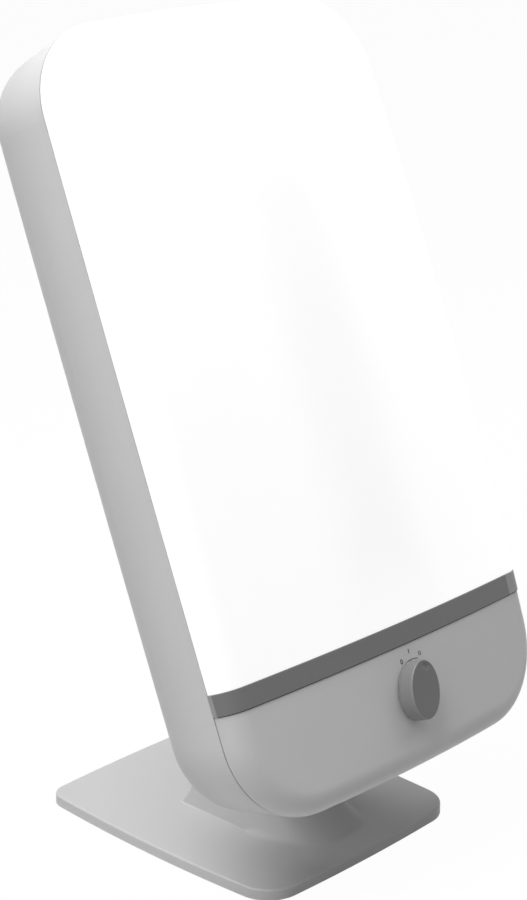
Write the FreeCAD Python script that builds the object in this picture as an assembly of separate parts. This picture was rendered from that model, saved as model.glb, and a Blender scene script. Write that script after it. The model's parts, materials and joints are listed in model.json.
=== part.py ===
import FreeCAD, Part
import math
import os
from FreeCAD import Placement, Rotation, Vector

# Light therapy lamp: a tall lit head that tilts on a short neck over a flat foot.
# Millimetres, +Z up, front towards -Y. The origin is on the table, under the middle of the foot.
# Head pieces are drawn upright in their own frame: u across, v up and w forward from the seam plane.

# Foot
FOOT_WIDTH = 177.0
FOOT_DEPTH = 204.5
FOOT_BOW_SIDE = 4.6
FOOT_BOW_ENDS = 2.9
FOOT_CORNER_FRONT = 24.0
FOOT_CORNER_REAR = 12.0
FOOT_TOP = 8.0
FOOT_ROOF = 2.0
FOOT_RIM = 4.0
FOOT_LIFT = 0.6
FOOT_EDGE_ROUND = 1.3
PAD_THICKNESS = 1.6
PAD_MARGIN = 9.0
COVER_THICKNESS = 1.6
COVER_CLEARANCE = 0.3
WEIGHT_MARGIN_X = 22.0
WEIGHT_MARGIN_Y = 13.0
FOOT_SCREW_MARGIN = 15.0
FOOT_BOSS_RADIUS = 4.0
THROUGH = 1.0

# Neck
NECK_HALF_WIDTH = 38.0
NECK_FRONT_DEPTH_FOOT = 52.5
NECK_FRONT_DEPTH_TOP = 14.0
NECK_FRONT_FLARE = 48.5
NECK_FRONT_FLARE_HEIGHT = 27.0
NECK_FRONT_CREASE = 0.2
NECK_FRONT_FULL_SIDE = 0.78
NECK_FRONT_FULL_TIP = 0.72
NECK_REAR_SLOPE = 0.24
NECK_REAR_FLARE = 8.5
NECK_REAR_FLARE_HEIGHT = 12.0
NECK_REAR_CORNER = 3.0
NECK_WALL = 3.0
SPIGOT_WALL = 2.0
SPIGOT_HEIGHT = 3.0
NECK_BARREL_RADIUS = 17.0
NECK_SECTIONS = 12

# Hinge
HINGE_Y = -20.0
HINGE_Z = 105.0
HINGE_PIN_RADIUS = 4.0
HINGE_RUNNING_GAP = 0.05
HINGE_SLOT_GAP = 0.1
KNUCKLE_RADIUS = 12.5
KNUCKLE_HALF_WIDTH = 17.0
KNUCKLE_WEB_SHARE = 0.7
WASHER_THICKNESS = 0.6
WASHER_RADIUS = 10.0
HINGE_CAP_RADIUS = 6.4
HINGE_CAP_DEPTH = 3.0
HINGE_CAP_PROUD = 0.4
ARM_THICKNESS = 3.6
ARM_WIDTH = 16.0
ARM_INSET = 6.5
ARM_FOOT_THICKNESS = 3.0
ARM_FOOT_FRONT = 17.0
ARM_FOOT_REAR = 26.0
ARM_SCREW_FRONT = 8.5
ARM_SCREW_REAR = 19.0
ARM_SCREW_CLEARANCE = 2.0
POCKET_GAP = 0.3

# Head, seen from the front
LEAN = 21.9
HEAD_WIDTH = 276.5
HEAD_HEIGHT = 482.3
HEAD_BOW_SIDE = 1.0
HEAD_BOW_TOP = 3.1
HEAD_BOW_BOTTOM = 1.5
HEAD_CORNER_TOP = 51.5
HEAD_CORNER_BOTTOM = 57.3
HINGE_UP_HEAD = 70.0
HINGE_BEHIND_HEAD = 24.0

# Rear casing
CASING_DEPTH = 70.0
CASING_REAR_ROUND = 30.0
CASING_DRAFT = 5.0
CASING_WALL = 2.5
VENT_WIDTH = 3.2
VENT_LENGTH = 24.0
VENT_PITCH = 8.0
VENT_COUNT = 15
VENT_UPPER = 418.0
VENT_LOWER = 142.0
CASING_SCREW_U = 84.0
CASING_SCREW_ROWS = (58.0, 232.0, 400.0)
CASING_BOSS_RADIUS = 4.5

# Front covers
SEAM_GAP = 1.0
SEAM_INSET = 1.0
SEAM_BAND = 4.0
COVER_EDGE_HEIGHT = 9.2
COVER_EDGE_ROUND = 16.0
COVER_CROWN_ACROSS = 11.4
COVER_CROWN_UP = 8.2
COVER_WALL = 2.2
BAR_BOTTOM = 76.1
BAR_HEIGHT = 13.1
BAR_PROUD = 0.8
COVER_JOINT = 0.3
FRAME_THICKNESS = 2.0
FRAME_BAND = 5.0
FRAME_GAP = 0.3

# Reflector, lamps and electrics
PAN_WALL = 1.0
PAN_MOUTH_INSET = 9.5
PAN_SLOPE_SIDE = 28.0
PAN_SLOPE_ENDS = 3.0
PAN_CORNER = 27.0
PAN_BOTTOM = 76.0
TUBE_RADIUS = 8.75
TUBE_PITCH = 21.5
TUBE_WALL = 0.9
LAMP_U = 60.0
LAMP_DEPTH = 25.0
LAMP_BOTTOM = 56.0
LAMP_LENGTH = 408.0
LAMP_CAP_LENGTH = 22.0
LAMP_CAP_WIDTH = 40.0
LAMP_CAP_DEPTH = 23.0
LAMP_CAP_ROUND = 3.0
LAMP_CAP_GAP = 1.0
LAMP_PIN_RADIUS = 1.2
LAMP_PIN_LENGTH = 6.5
LAMP_PIN_PITCH = 8.0
HOLDER_HEIGHT = 20.0
HOLDER_WIDTH = 44.0
HOLDER_DEPTH = 26.0
CLIP_BELOW_LAMP_TOP = 64.0
CLIP_WIDTH = 10.0
CLIP_WALL = 1.2
CLIP_STEM_WIDTH = 4.0
CLIP_GAP = 0.25
BALLAST_LENGTH = 212.0
BALLAST_WIDTH = 40.0
BALLAST_THICKNESS = 20.0
BALLAST_BOTTOM = 180.0
BALLAST_FOOT_LENGTH = 16.0
BALLAST_FOOT_THICKNESS = 1.5
BALLAST_REAR_GAP = 3.5
TERMINAL_WIDTH = 36.0
TERMINAL_HEIGHT = 17.0
TERMINAL_DEPTH = 15.0
TERMINAL_U = 52.0
TERMINAL_V = 88.0
TERMINAL_WAYS = 3
TERMINAL_WELL_RADIUS = 2.2
TERMINAL_WELL_DEPTH = 5.0

# Mains inlet in the rear face
INLET_U = -60.0
INLET_V = 66.0
INLET_LOBE_RADIUS = 4.2
INLET_LOBE_PITCH = 8.6
INLET_DEPTH = 10.0
INLET_BODY_MARGIN = 2.0
INLET_BODY_DEPTH = 14.0
INLET_FLANGE = 3.5
INLET_FLANGE_THICKNESS = 1.2
INLET_PIN_RADIUS = 1.2
INLET_PIN_LENGTH = 8.0
INLET_PIN_ROOT = 2.0

# Rotary switch and knob
KNOB_U = 0.0
KNOB_V = 46.9
KNOB_HALF_LENGTH = 18.5
KNOB_HALF_WIDTH = 12.7
KNOB_TURN = 16.0
KNOB_DEPTH = 11.2
KNOB_EDGE_ROUND = 0.6
KNOB_GAP = 0.4
KNOB_RECESS_RADIUS = 9.5
KNOB_RECESS_DEPTH = 4.2
KNOB_FACE_INSET = 0.9
KNOB_FACE_DEPTH = 1.0
KNOB_WEB = 2.0
POINTER_WIDTH = 1.3
POINTER_LENGTH = 3.4
POINTER_MARGIN = 0.6
POINTER_DEPTH = 0.6
SHAFT_RADIUS = 3.0
SHAFT_RUNNING_GAP = 0.05
SHAFT_END_GAP = 0.5
BUSHING_RADIUS = 4.7
BUSHING_GAP = 1.2
SWITCH_SIZE = 24.0
SWITCH_DEPTH = 17.0
SWITCH_PAD_RADIUS = 15.0
SWITCH_PAD_DEPTH = 2.0
NUT_ACROSS_FLATS = 14.0
NUT_THICKNESS = 2.0
NUT_GAP = 0.35

# Fasteners
SCREW_RADIUS = 2.0
SCREW_HEAD_RADIUS = 3.8
SCREW_HEAD_HEIGHT = 2.2
SCREW_GAP = 0.1
BRACKET_PLATE_THICKNESS = 3.0
BRACKET_PLATE_HALF_WIDTH = 30.0
BRACKET_PLATE_HALF_HEIGHT = 31.0
BRACKET_SCREW_MARGIN = 7.0
BACKING_THICKNESS = 2.0

X_AXIS = Vector(1, 0, 0)
Z_AXIS = Vector(0, 0, 1)
FORWARD = Vector(0, -1, 0)

HEAD_HALF = HEAD_WIDTH / 2
HEAD_MIDDLE = HEAD_HEIGHT / 2
HINGE_W = -(CASING_DEPTH + HINGE_BEHIND_HEAD)
PAN_FLOOR = -CASING_DEPTH + CASING_WALL + BALLAST_REAR_GAP + BALLAST_THICKNESS + PAN_WALL
FOOT_HALF_X = FOOT_WIDTH / 2
FOOT_HALF_Y = FOOT_DEPTH / 2


# ---------- plain shapes ----------

def block(low, high):
    size = high - low
    return Part.makeBox(size.x, size.y, size.z, low)


def rod(radius, start, direction, length):
    return Part.makeCylinder(radius, length, start, direction)


def group(solids):
    return Part.makeCompound(solids)


def cut_all(body, tools):
    for tool in tools:
        body = body.cut(tool)
    return body


def fuse_all(bodies):
    whole = bodies[0]
    for body in bodies[1:]:
        whole = whole.fuse(body)
    return whole.removeSplitter()


# ---------- bowed outlines with round corners ----------

def meet(centre_a, reach_a, centre_b, reach_b, sign_u, sign_v):
    """Where two circles cross, on the side that the signs name. Points are (u, v, 0)."""
    line = centre_b - centre_a
    gap = line.Length
    along = (gap ** 2 + reach_a ** 2 - reach_b ** 2) / (2 * gap)
    across = math.sqrt(max(reach_a ** 2 - along ** 2, 0.0))
    foot = centre_a + line * (along / gap)
    turned = Vector(-line.y, line.x, 0) * (across / gap)
    found = [foot + turned, foot - turned]
    return max(found, key=lambda point: sign_u * point.x + sign_v * point.y)


def bow_radius(half_chord, bow):
    return half_chord ** 2 / (2 * bow) + bow / 2


def bowed_outline(half_width, bottom, top, bows, corners, inset, place):
    """Closed wire of four bowed sides and four corner arcs. bows and corners: side, bottom, top."""
    bow_side, bow_bottom, bow_top = bows
    corner_bottom, corner_top = corners
    half_height = (top - bottom) / 2
    centre_v = (top + bottom) / 2
    reach_side = bow_radius(half_height, bow_side)
    arcs = []
    for sign_v, edge, bow, corner in ((-1, bottom, bow_bottom, corner_bottom),
                                      (1, top, bow_top, corner_top)):
        reach_end = bow_radius(half_width, bow)
        end_centre = Vector(0, edge + sign_v * (bow - reach_end), 0)
        for sign_u in (-1, 1):
            side_centre = Vector(sign_u * (half_width + bow_side - reach_side), centre_v, 0)
            corner_centre = meet(side_centre, reach_side - corner, end_centre, reach_end - corner,
                                 sign_u, sign_v)
            on_side = corner_centre - side_centre
            on_end = corner_centre - end_centre
            touch_side = side_centre + on_side * ((reach_side - inset) / on_side.Length)
            touch_end = end_centre + on_end * ((reach_end - inset) / on_end.Length)
            outward = (touch_side - corner_centre) + (touch_end - corner_centre)
            peak = corner_centre + outward * ((corner - inset) / outward.Length)
            arcs.append((touch_side, peak, touch_end))
    low_left, low_right, high_left, high_right = arcs
    low_mid = Vector(0, bottom - bow_bottom + inset, 0)
    high_mid = Vector(0, top + bow_top - inset, 0)
    right_mid = Vector(half_width + bow_side - inset, centre_v, 0)
    left_mid = Vector(-right_mid.x, centre_v, 0)
    runs = [(low_left[2], low_mid, low_right[2]), low_right[::-1],
            (low_right[0], right_mid, high_right[0]), high_right,
            (high_right[2], high_mid, high_left[2]), high_left[::-1],
            (high_left[0], left_mid, low_left[0]), low_left]
    edges = [Part.Arc(place(a), place(b), place(c)).toShape() for a, b, c in runs]
    return Part.Wire(edges)


def foot_outline(inset, z):
    return bowed_outline(FOOT_HALF_X, -FOOT_HALF_Y, FOOT_HALF_Y,
                         (FOOT_BOW_SIDE, FOOT_BOW_ENDS, FOOT_BOW_ENDS),
                         (FOOT_CORNER_FRONT, FOOT_CORNER_REAR), inset,
                         lambda point: Vector(point.x, point.y, z))


def foot_slab(inset, z_low, z_high):
    return Part.Face(foot_outline(inset, z_low)).extrude(Z_AXIS * (z_high - z_low))


def head_outline(inset, w):
    return bowed_outline(HEAD_HALF, 0.0, HEAD_HEIGHT,
                         (HEAD_BOW_SIDE, HEAD_BOW_BOTTOM, HEAD_BOW_TOP),
                         (HEAD_CORNER_BOTTOM, HEAD_CORNER_TOP), inset,
                         lambda point: at(point.x, point.y, w))


def head_slab(inset, w_rear, w_front):
    return Part.Face(head_outline(inset, w_rear)).extrude(FORWARD * (w_front - w_rear))


def at(u, v, w):
    """A point of the head's own frame."""
    return Vector(u, -w, v)


def head_block(u_range, v_range, w_range):
    return block(at(u_range[0], v_range[0], w_range[1]), at(u_range[1], v_range[1], w_range[0]))


def head_rod(radius, u, v, w_rear, w_front):
    return rod(radius, at(u, v, w_rear), FORWARD, w_front - w_rear)


def head_placement():
    """Leans the head back and brings its hinge point onto the hinge axis."""
    turn = Rotation(X_AXIS, -LEAN)
    hinge_point = turn.multVec(at(0, HINGE_UP_HEAD, HINGE_W))
    return Placement(Vector(0, HINGE_Y, HINGE_Z) - hinge_point, turn)


# ---------- foot ----------

def foot_screw_places():
    reach_x = FOOT_HALF_X - FOOT_SCREW_MARGIN
    reach_y = FOOT_HALF_Y - FOOT_SCREW_MARGIN
    return [(sx * reach_x, sy * reach_y) for sx in (-1, 1) for sy in (-1, 1)]


def foot_levels():
    cover_top = PAD_THICKNESS + COVER_THICKNESS
    roof_under = FOOT_TOP - FOOT_ROOF
    return cover_top, roof_under


def foot_shell():
    """Shallow tray with four screw bosses and an opening for the neck's spigot."""
    cover_top, roof_under = foot_levels()
    slab = foot_slab(0, FOOT_LIFT, FOOT_TOP)
    rim = [edge for edge in slab.Edges if edge.BoundBox.ZMin > FOOT_TOP - 0.01]
    slab = slab.makeFillet(FOOT_EDGE_ROUND, rim)
    slab = slab.cut(foot_slab(FOOT_RIM, 0, roof_under))
    boss_height = FOOT_TOP - FOOT_ROOF / 2 - cover_top
    bosses = [rod(FOOT_BOSS_RADIUS, Vector(x, y, cover_top), Z_AXIS, boss_height)
              for x, y in foot_screw_places()]
    holes = [countersunk_screw(x, y, 0) for x, y in foot_screw_places()]
    opening = neck_body(NECK_WALL, -FOOT_ROOF - THROUGH, THROUGH)
    return cut_all(fuse_all([slab] + bosses), holes + [opening])


def anti_slip_pad():
    return foot_slab(PAD_MARGIN, 0, PAD_THICKNESS)


def foot_cover():
    cover_top, _ = foot_levels()
    cover = foot_slab(FOOT_RIM + COVER_CLEARANCE, PAD_THICKNESS, cover_top)
    return cut_all(cover, [countersunk_screw(x, y, SCREW_GAP) for x, y in foot_screw_places()])


def countersunk_screw(x, y, gap):
    """Flat-headed screw that ends flush with the underside of the cover."""
    _, roof_under = foot_levels()
    head = Part.makeCone(SCREW_HEAD_RADIUS + gap, SCREW_RADIUS + gap, COVER_THICKNESS,
                         Vector(x, y, PAD_THICKNESS))
    shank = rod(SCREW_RADIUS + gap, Vector(x, y, PAD_THICKNESS), Z_AXIS, roof_under - PAD_THICKNESS)
    return head.fuse(shank)


def foot_screws():
    return group([countersunk_screw(x, y, 0) for x, y in foot_screw_places()])


def weight_plate():
    cover_top, roof_under = foot_levels()
    reach_x = FOOT_HALF_X - WEIGHT_MARGIN_X
    reach_y = FOOT_HALF_Y - WEIGHT_MARGIN_Y
    plate = block(Vector(-reach_x, -reach_y, cover_top), Vector(reach_x, reach_y, roof_under))
    holes = [rod(SCREW_RADIUS, Vector(x, y, cover_top), Z_AXIS, roof_under - cover_top)
             for x, y in arm_screw_places()]
    return cut_all(plate, holes)


# ---------- neck ----------

def neck_edges(height):
    """Front tip, rear edge and front depth of the neck at a height over the foot."""
    full = HINGE_Z - FOOT_TOP
    front_flare = NECK_FRONT_FLARE * math.exp(-height / NECK_FRONT_FLARE_HEIGHT)
    rear_flare = NECK_REAR_FLARE * math.exp(-height / NECK_REAR_FLARE_HEIGHT)
    front = HINGE_Y - NECK_BARREL_RADIUS - front_flare
    rear = HINGE_Y + NECK_BARREL_RADIUS + NECK_REAR_SLOPE * (full - height) + rear_flare
    share = height / full
    depth = NECK_FRONT_DEPTH_FOOT * (1 - share) + NECK_FRONT_DEPTH_TOP * share
    return front, rear, depth


def curve(points):
    bezier = Part.BezierCurve()
    bezier.setPoles(points)
    return bezier.toShape()


def neck_section(height, inset):
    """D-shaped wire: flat rear and sides, and a full round front that meets the sides in a crease."""
    front, rear, depth = neck_edges(height)
    z = FOOT_TOP + height
    side = NECK_HALF_WIDTH - inset
    shoulder = front + depth
    front = front + inset
    rear = rear - inset
    corner = NECK_REAR_CORNER - inset / 2
    bulge = depth - inset
    lead = side * (1 - NECK_FRONT_CREASE)
    diagonal = corner * (1 - math.sqrt(0.5))
    edges = []
    for sign in (1, -1):
        flank = [Vector(sign * (side - corner), rear, z), Vector(sign * side, rear - corner, z)]
        bend = Vector(sign * (side - diagonal), rear - diagonal, z)
        start = Vector(sign * side, shoulder, z)
        tip = Vector(0, front, z)
        edges.append([Part.makeLine(Vector(0, rear, z), flank[0]),
                      Part.Arc(flank[0], bend, flank[1]).toShape(),
                      Part.makeLine(flank[1], start),
                      curve([start, Vector(sign * lead, shoulder - NECK_FRONT_FULL_SIDE * bulge, z),
                             Vector(sign * NECK_FRONT_FULL_TIP * side, front, z), tip])])
    right, left = edges
    return Part.Wire(right + left[::-1])


def neck_body(inset, low, high):
    """Loft with sections crowded towards the flared foot."""
    steps = [(index / (NECK_SECTIONS - 1)) ** 2 for index in range(NECK_SECTIONS)]
    wires = [neck_section(low + (high - low) * step, inset) for step in steps]
    return Part.makeLoft(wires, True, False)


def neck_top():
    top = HINGE_Z - FOOT_TOP
    column = Part.Face(neck_section(top, 0)).extrude(Z_AXIS * (NECK_BARREL_RADIUS + THROUGH))
    start = Vector(-NECK_HALF_WIDTH, HINGE_Y, HINGE_Z)
    return column.common(rod(NECK_BARREL_RADIUS, start, X_AXIS, 2 * NECK_HALF_WIDTH))


def slot_half_width():
    return KNUCKLE_HALF_WIDTH + WASHER_THICKNESS + HINGE_SLOT_GAP


def arm_start():
    return slot_half_width() + ARM_INSET


def neck_shell():
    """Hollow column on the foot, held by a spigot, with the slot for the head's knuckle."""
    full = HINGE_Z - FOOT_TOP
    slot_floor = HINGE_Z - NECK_BARREL_RADIUS
    ceiling = slot_floor - 2 * NECK_WALL - FOOT_TOP
    spigot = neck_body(NECK_WALL + SCREW_GAP, -FOOT_ROOF, SPIGOT_HEIGHT)
    outside = fuse_all([spigot, neck_body(0, 0, full), neck_top()])
    mouth = neck_body(NECK_WALL + SPIGOT_WALL, -FOOT_ROOF - THROUGH, SPIGOT_HEIGHT + THROUGH)
    hollow = neck_body(NECK_WALL, SPIGOT_HEIGHT, ceiling)
    slot = block(Vector(-slot_half_width(), -FOOT_HALF_Y, slot_floor),
                 Vector(slot_half_width(), FOOT_HALF_Y, HINGE_Z + 2 * NECK_BARREL_RADIUS))
    pockets = [arm(sign, POCKET_GAP) for sign in (-1, 1)]
    seats = [cap_seat(sign) for sign in (-1, 1)]
    return cut_all(outside, [mouth, hollow, slot, pin_bore(FOOT_HALF_X)] + pockets + seats)


def arm(sign, gap):
    """Steel upright that carries the pin; with a gap it is the pocket that the upright stands in."""
    _, roof_under = foot_levels()
    inner = arm_start() - gap
    outer = arm_start() + ARM_THICKNESS + gap
    low_x, high_x = sorted((sign * inner, sign * outer))
    half = ARM_WIDTH / 2 + gap
    upright = block(Vector(low_x, HINGE_Y - half, roof_under), Vector(high_x, HINGE_Y + half, HINGE_Z))
    eye = rod(half, Vector(low_x, HINGE_Y, HINGE_Z), X_AXIS, high_x - low_x)
    return upright.fuse(eye).removeSplitter()


def arm_screw_places():
    reach = arm_start() - SCREW_HEAD_RADIUS - ARM_SCREW_CLEARANCE
    rows = (HINGE_Y - ARM_SCREW_FRONT, HINGE_Y + ARM_SCREW_REAR)
    return [(sign * reach, y) for sign in (-1, 1) for y in rows]


def stand_bracket():
    _, roof_under = foot_levels()
    reach = arm_start() + ARM_THICKNESS
    foot = block(Vector(-reach, HINGE_Y - ARM_FOOT_FRONT, roof_under),
                 Vector(reach, HINGE_Y + ARM_FOOT_REAR, roof_under + ARM_FOOT_THICKNESS))
    body = fuse_all([foot, arm(-1, 0), arm(1, 0)])
    holes = [rod(SCREW_RADIUS + SCREW_GAP, Vector(x, y, roof_under), Z_AXIS, ARM_FOOT_THICKNESS)
             for x, y in arm_screw_places()]
    return cut_all(body, [pin_bore(FOOT_HALF_X)] + holes)


def arm_screws():
    cover_top, roof_under = foot_levels()
    seat = roof_under + ARM_FOOT_THICKNESS
    screws = []
    for x, y in arm_screw_places():
        head = rod(SCREW_HEAD_RADIUS, Vector(x, y, seat), Z_AXIS, SCREW_HEAD_HEIGHT)
        screws.append(head.fuse(rod(SCREW_RADIUS, Vector(x, y, cover_top), Z_AXIS, seat - cover_top)))
    return group(screws)


# ---------- hinge ----------

def pin_half_length():
    return NECK_HALF_WIDTH - HINGE_CAP_DEPTH


def pin_bore(half_length):
    """Running hole for the pin, from side to side."""
    start = Vector(-half_length, HINGE_Y, HINGE_Z)
    return rod(HINGE_PIN_RADIUS + HINGE_RUNNING_GAP, start, X_AXIS, 2 * half_length)


def hinge_pin():
    half = pin_half_length()
    return rod(HINGE_PIN_RADIUS, Vector(-half, HINGE_Y, HINGE_Z), X_AXIS, 2 * half)


def cap_seat(sign):
    start = Vector(sign * pin_half_length(), HINGE_Y, HINGE_Z)
    return rod(HINGE_CAP_RADIUS + POCKET_GAP, start, X_AXIS * sign, HINGE_CAP_DEPTH + THROUGH)


def hinge_caps():
    length = HINGE_CAP_DEPTH + HINGE_CAP_PROUD
    caps = []
    for sign in (-1, 1):
        start = Vector(sign * pin_half_length(), HINGE_Y, HINGE_Z)
        cap = rod(HINGE_CAP_RADIUS, start, X_AXIS * sign, length)
        end = pin_half_length() + length - 0.01
        outer = [edge for edge in cap.Edges if abs(edge.CenterOfMass.x) > end]
        caps.append(cap.makeFillet(HINGE_CAP_PROUD, outer))
    return group(caps)


def hinge_washers():
    washers = []
    for sign in (-1, 1):
        start = Vector(sign * KNUCKLE_HALF_WIDTH, HINGE_Y, HINGE_Z)
        ring = rod(WASHER_RADIUS, start, X_AXIS * sign, WASHER_THICKNESS)
        washers.append(ring.cut(pin_bore(NECK_HALF_WIDTH)))
    return group(washers)


def bracket_screw_places():
    reach_u = BRACKET_PLATE_HALF_WIDTH - BRACKET_SCREW_MARGIN
    reach_v = BRACKET_PLATE_HALF_HEIGHT - BRACKET_SCREW_MARGIN
    return [(su * reach_u, HINGE_UP_HEAD + sv * reach_v) for su in (-1, 1) for sv in (-1, 1)]


def bracket_plate(w_rear, w_front):
    reach_v = BRACKET_PLATE_HALF_HEIGHT
    return head_block((-BRACKET_PLATE_HALF_WIDTH, BRACKET_PLATE_HALF_WIDTH),
                      (HINGE_UP_HEAD - reach_v, HINGE_UP_HEAD + reach_v), (w_rear, w_front))


def head_bracket():
    """Plate on the rear face with the knuckle that turns on the pin."""
    plate_rear = -CASING_DEPTH - BRACKET_PLATE_THICKNESS
    plate = bracket_plate(plate_rear, -CASING_DEPTH)
    half_web = KNUCKLE_WEB_SHARE * KNUCKLE_RADIUS
    web = head_block((-KNUCKLE_HALF_WIDTH, KNUCKLE_HALF_WIDTH),
                     (HINGE_UP_HEAD - half_web, HINGE_UP_HEAD + half_web), (HINGE_W, plate_rear))
    start = at(-KNUCKLE_HALF_WIDTH, HINGE_UP_HEAD, HINGE_W)
    knuckle = rod(KNUCKLE_RADIUS, start, X_AXIS, 2 * KNUCKLE_HALF_WIDTH)
    bore = rod(HINGE_PIN_RADIUS + HINGE_RUNNING_GAP, start, X_AXIS, 2 * KNUCKLE_HALF_WIDTH)
    holes = [head_rod(SCREW_RADIUS + SCREW_GAP, u, v, plate_rear, -CASING_DEPTH)
             for u, v in bracket_screw_places()]
    return cut_all(fuse_all([plate, web, knuckle]), [bore] + holes)


def rear_screw(u, v, seat, tip):
    """Pan-headed screw driven forward from the rear."""
    head = head_rod(SCREW_HEAD_RADIUS, u, v, seat - SCREW_HEAD_HEIGHT, seat)
    return head.fuse(head_rod(SCREW_RADIUS, u, v, seat, tip))


def head_bracket_screws():
    seat = -CASING_DEPTH - BRACKET_PLATE_THICKNESS
    tip = -CASING_DEPTH + CASING_WALL + BACKING_THICKNESS
    return group([rear_screw(u, v, seat, tip) for u, v in bracket_screw_places()])


def backing_plate():
    inside = -CASING_DEPTH + CASING_WALL
    front = inside + BACKING_THICKNESS
    holes = [head_rod(SCREW_RADIUS, u, v, inside, front) for u, v in bracket_screw_places()]
    return cut_all(bracket_plate(inside, front), holes)


# ---------- rear casing ----------

def casing_form(wall, front):
    """Drafted dish with a large rear rounding; wall moves every side inwards."""
    rear = -CASING_DEPTH + wall
    straight = CASING_DEPTH - CASING_REAR_ROUND
    ends = [head_outline(wall + CASING_DRAFT * -w / straight, w) for w in (front, rear)]
    body = Part.makeLoft(ends, True, True)
    back = min(body.Faces, key=lambda face: face.CenterOfMass.dot(FORWARD))
    return body.makeFillet(CASING_REAR_ROUND - wall, back.OuterWire.Edges)


def casing_screw_places():
    return [(su * CASING_SCREW_U, v) for su in (-1, 1) for v in CASING_SCREW_ROWS]


def vent_slots():
    slots = []
    first = -(VENT_COUNT - 1) * VENT_PITCH / 2
    half = VENT_WIDTH / 2
    reach = (VENT_LENGTH - VENT_WIDTH) / 2
    rear = -CASING_DEPTH - THROUGH
    front = -CASING_DEPTH + CASING_WALL + THROUGH
    for centre in (VENT_LOWER, VENT_UPPER):
        for index in range(VENT_COUNT):
            u = first + index * VENT_PITCH
            slot = head_block((u - half, u + half), (centre - reach, centre + reach), (rear, front))
            ends = [head_rod(half, u, centre + sign * reach, rear, front) for sign in (-1, 1)]
            slots.append(fuse_all([slot] + ends))
    return slots


def rear_casing():
    """Deep moulding with vents, bosses behind the reflector, and holes for screws and inlet."""
    inside = -CASING_DEPTH + CASING_WALL
    outside = -CASING_DEPTH - THROUGH
    shell = casing_form(0, -SEAM_GAP).cut(casing_form(CASING_WALL, 0.0))
    bosses = []
    holes = vent_slots()
    for u, v in casing_screw_places():
        bosses.append(head_rod(CASING_BOSS_RADIUS, u, v, inside - CASING_WALL / 2, PAN_FLOOR - PAN_WALL))
        holes.append(head_rod(SCREW_RADIUS + SCREW_GAP, u, v, outside, PAN_FLOOR))
        holes.append(head_rod(SCREW_HEAD_RADIUS + SCREW_GAP, u, v, outside, inside))
    for u, v in bracket_screw_places():
        holes.append(head_rod(SCREW_RADIUS + SCREW_GAP, u, v, outside, inside + THROUGH))
    holes.append(inlet_form(INLET_BODY_MARGIN + POCKET_GAP, outside, inside + THROUGH))
    return cut_all(fuse_all([shell] + bosses), holes)


def casing_screws():
    seat = -CASING_DEPTH + CASING_WALL
    tip = PAN_FLOOR
    return group([rear_screw(u, v, seat, tip) for u, v in casing_screw_places()])


def seam_gasket():
    return head_slab(SEAM_INSET, -SEAM_GAP, 0).cut(head_slab(SEAM_INSET + SEAM_BAND, -SEAM_GAP, 0))


# ---------- front covers ----------

def crown_form(inset):
    """Front surface curved strongly across and slightly up the head, as a solid behind it."""
    peak = COVER_EDGE_HEIGHT + COVER_CROWN_ACROSS + COVER_CROWN_UP - inset
    across = bow_radius(HEAD_HALF, COVER_CROWN_ACROSS)
    upward = bow_radius(HEAD_MIDDLE, COVER_CROWN_UP)
    reach = HEAD_HALF + 2 * HEAD_BOW_SIDE + 5
    drop = across - math.sqrt(across ** 2 - reach ** 2)
    back = -COVER_EDGE_ROUND - 2 * THROUGH
    corners = [at(u, HEAD_MIDDLE, peak - fall) for u, fall in ((-reach, drop), (0, 0), (reach, drop))]
    base = [at(reach, HEAD_MIDDLE, back), at(-reach, HEAD_MIDDLE, back)]
    profile = Part.Wire([Part.Arc(*corners).toShape(), Part.makeLine(corners[2], base[0]),
                         Part.makeLine(base[0], base[1]), Part.makeLine(base[1], corners[0])])
    pivot = at(0, HEAD_MIDDLE, peak - upward)
    sweep = math.degrees((HEAD_MIDDLE + HEAD_BOW_TOP + HEAD_BOW_BOTTOM) / upward)
    face = Part.Face(profile)
    face.rotate(pivot, X_AXIS, -sweep)
    return face.revolve(pivot, X_AXIS, 2 * sweep)


def cover_slice(inset, back, v_low, v_high):
    """Front covers as one solid. The edge rounding is larger than the edge is high, so it is cut at back."""
    deep = COVER_EDGE_HEIGHT + COVER_CROWN_ACROSS + COVER_CROWN_UP - inset + THROUGH
    body = head_slab(inset, -COVER_EDGE_ROUND - THROUGH, deep).common(crown_form(inset))
    front = max(body.Faces, key=lambda face: face.CenterOfMass.dot(FORWARD))
    body = body.makeFillet(COVER_EDGE_ROUND - inset, front.OuterWire.Edges)
    return body.common(head_block((-HEAD_HEIGHT, HEAD_HEIGHT), (v_low, v_high), (back, deep)))


def cover_form(inset, back):
    return cover_slice(inset, back, -HEAD_HEIGHT, 2 * HEAD_HEIGHT)


def cover_shell():
    return cover_form(0, 0).cut(cover_form(COVER_WALL, -THROUGH))


def between(body, v_low, v_high):
    wide = HEAD_WIDTH
    return body.common(head_block((-wide, wide), (v_low, v_high), (-wide, wide)))


def bar_top():
    return BAR_BOTTOM + BAR_HEIGHT


def diffuser():
    return between(cover_shell(), bar_top() + COVER_JOINT, 2 * HEAD_HEIGHT)


def trim_bar():
    """Strip that stands a little proud of the covers above and below it."""
    outside = cover_slice(-BAR_PROUD, 0, BAR_BOTTOM, bar_top())
    inside = cover_slice(COVER_WALL, -THROUGH, BAR_BOTTOM, bar_top())
    return outside.cut(inside)


def panel_surface(v):
    """How far forward the panel's outer face lies on its middle line."""
    fall = COVER_CROWN_UP * ((HEAD_MIDDLE - v) / HEAD_MIDDLE) ** 2
    return COVER_EDGE_HEIGHT + COVER_CROWN_ACROSS + COVER_CROWN_UP - fall


def switch_seat():
    return panel_surface(KNOB_V) - COVER_WALL - SWITCH_PAD_DEPTH


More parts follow.
